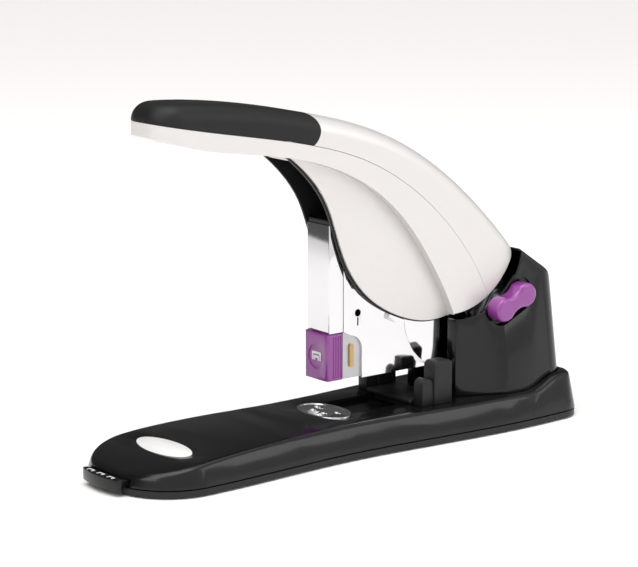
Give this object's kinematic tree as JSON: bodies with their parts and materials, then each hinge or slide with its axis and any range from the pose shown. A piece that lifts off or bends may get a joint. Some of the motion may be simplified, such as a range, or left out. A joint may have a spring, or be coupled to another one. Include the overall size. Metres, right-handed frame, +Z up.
{
  "type": "heavy-duty stapler",
  "caption": "Heavy-duty desk stapler: long curved lever handle, side cheeks, driver column over an anvil plate, pull-out staple drawer, sliding paper stop and base storage drawer.",
  "frame": {"origin": "centre of the footprint box, at the level the rubber feet stand on", "axes": "+Z up, +X towards the rear housing (the nose and label point to -X), +Y to the right of someone standing behind the housing and looking towards the nose; left in a node name means -Y"},
  "size_m": [0.2976, 0.086, 0.1908],
  "materials": {
    "rubber": "matte moulded rubber",
    "black_matte": "fine matte moulded plastic",
    "black_gloss": "polished moulded plastic",
    "label_grey": "smooth blank plate",
    "steel": "zinc-plated steel",
    "mirror_steel": "bright nickel plate",
    "spring_steel": "drawn spring wire",
    "silver": "satin silver lacquer",
    "grip_rubber": "soft-touch grip",
    "purple": "glossy coloured plastic",
    "bronze": "phosphor-bronze strip",
    "white_mark": "printed pictogram"
  },
  "bodies": {
    "base": {"rubber_feet": "rubber", "bottom_plate": "black_matte", "base_screws": "steel", "base_shell": "black_gloss", "name_plate": "label_grey", "frame_channel": "steel", "anvil_seat": "steel", "anvil_plate": "mirror_steel", "housing": "black_gloss", "pivot_bracket": "steel", "bracket_rivets": "steel", "handle_pivot_pin": "steel", "head_pivot_pin": "steel", "handle_springs": "spring_steel", "head_lift_spring": "spring_steel"},
    "handle": {"handle_lower": "silver", "handle_upper": "silver", "grip": "grip_rubber", "handle_frame": "black_matte", "cheek_left": "silver", "cheek_right": "silver", "cheek_bridge": "silver", "drive_arm": "steel", "arm_pins": "steel"},
    "head": {"side_plate_left": "mirror_steel", "side_plate_right": "mirror_steel", "plate_rivets": "steel", "column_cover": "mirror_steel", "column_cap": "black_matte", "head_block": "steel", "head_foot": "steel", "magazine_guide": "steel", "guide_springs": "bronze"},
    "driver": {"driver_blade": "steel", "driver_carrier": "steel", "driver_pin_bar": "steel"},
    "magazine": {"drawer_front": "purple", "drawer_icon": "white_mark", "magazine_rail": "steel", "staple_strip": "mirror_steel", "pusher_rod": "steel", "pusher_spring": "spring_steel"},
    "pusher": {"pusher": "black_matte"},
    "release": {"release_lever": "purple", "release_shaft": "steel", "release_pawl": "steel"},
    "paper_stop": {"stop_carriage": "black_matte", "stop_ear_left": "black_matte", "stop_ear_right": "black_matte"},
    "storage": {"storage_tray": "black_matte", "storage_tab": "black_gloss", "tab_icon": "white_mark"}
  },
  "joints": [
    {"name": "handle_pivot", "type": "hinge", "parent": "base", "child": "handle", "pos_m": [0.098, 0, 0.086], "axis": [0, -1, 0], "range_deg": [0, 25], "stiffness_Nm_per_rad": 0.8, "springref_deg": -28.65},
    {"name": "head_pivot", "type": "hinge", "parent": "base", "child": "head", "pos_m": [0.105, 0, 0.05], "axis": [0, -1, 0], "range_deg": [0, 8.6], "deforming": ["head_lift_spring"]},
    {"name": "driver_slide", "type": "slide", "parent": "head", "child": "driver", "axis": [0, 0, -1], "range_m": [0, 0.027]},
    {"name": "magazine_slide", "type": "slide", "parent": "head", "child": "magazine", "axis": [1, 0, 0], "range_m": [-0.07, 0]},
    {"name": "pusher_slide", "type": "slide", "parent": "magazine", "child": "pusher", "axis": [1, 0, 0], "range_m": [0, 0.02], "stiffness_N_per_m": 40, "springref_m": -0.02},
    {"name": "release_lever", "type": "hinge", "parent": "base", "child": "release", "pos_m": [0.105, 0, 0.0675], "axis": [0, -1, 0], "range_deg": [0, 8], "stiffness_Nm_per_rad": 0.05, "springref_deg": -11.46},
    {"name": "paper_stop", "type": "slide", "parent": "base", "child": "paper_stop", "axis": [1, 0, 0], "range_m": [-0.03, 0.006]},
    {"name": "storage_drawer", "type": "slide", "parent": "base", "child": "storage", "axis": [1, 0, 0], "range_m": [-0.055, 0]}
  ],
  "couplings": [
    {"joint": "head_pivot", "follows": "handle_pivot", "ratio": 0.3439},
    {"joint": "driver_slide", "follows": "handle_pivot", "m_per_rad": 0.06187}
  ]
}
